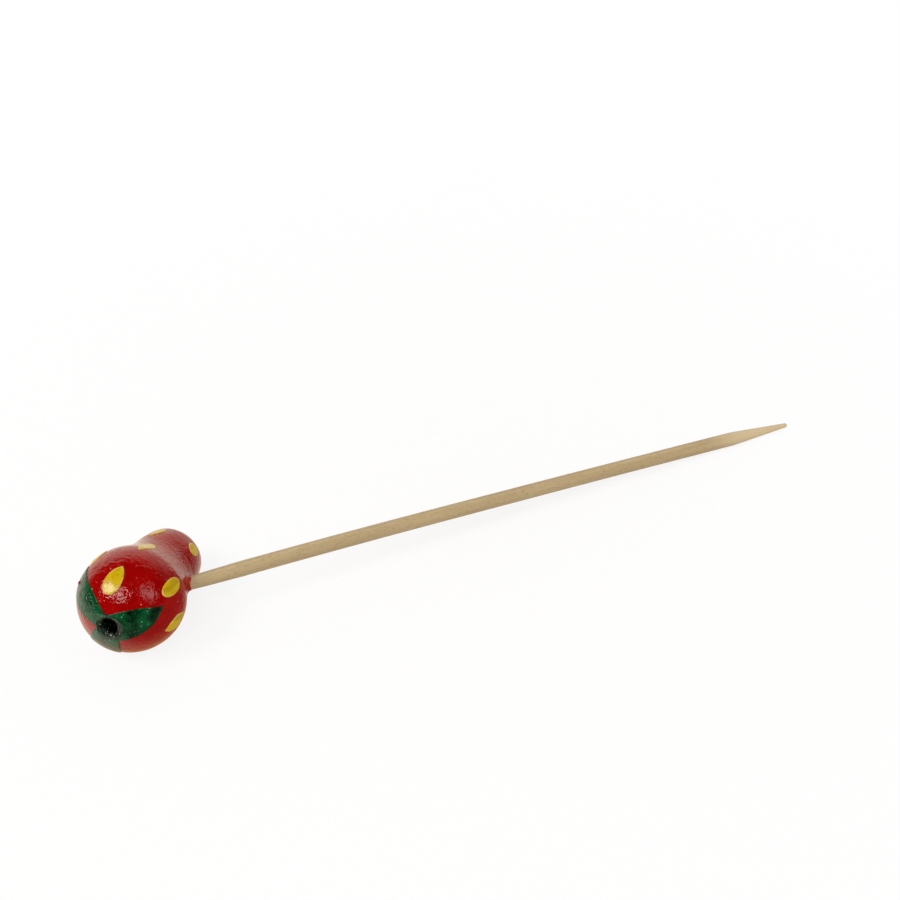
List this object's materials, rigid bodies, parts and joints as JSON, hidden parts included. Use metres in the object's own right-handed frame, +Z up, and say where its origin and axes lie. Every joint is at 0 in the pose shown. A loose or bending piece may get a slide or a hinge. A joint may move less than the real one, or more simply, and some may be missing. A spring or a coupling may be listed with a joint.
{
  "type": "wooden skewer",
  "caption": "Wooden cocktail skewer: a thin stick with a tapered point, glued at a lean into a turned wooden bead painted as a strawberry.",
  "frame": {"origin": "on the table, in the middle of the footprint of the skewer as it lies at rest", "axes": "+X the way the stick points, from bead to tip, +Z up from the table, +Y towards the side that the bead's narrow end lies on"},
  "size_m": [0.1198, 0.0203, 0.015],
  "materials": {
    "bare_wood": "sanded, unvarnished",
    "red_lacquer": "high gloss red lacquer",
    "green_paint": "gloss",
    "yellow_paint": "gloss"
  },
  "bodies": {
    "root": {"stick": "bare_wood", "bead": "red_lacquer", "leaves": "green_paint", "seeds": "yellow_paint"}
  },
  "joints": []
}
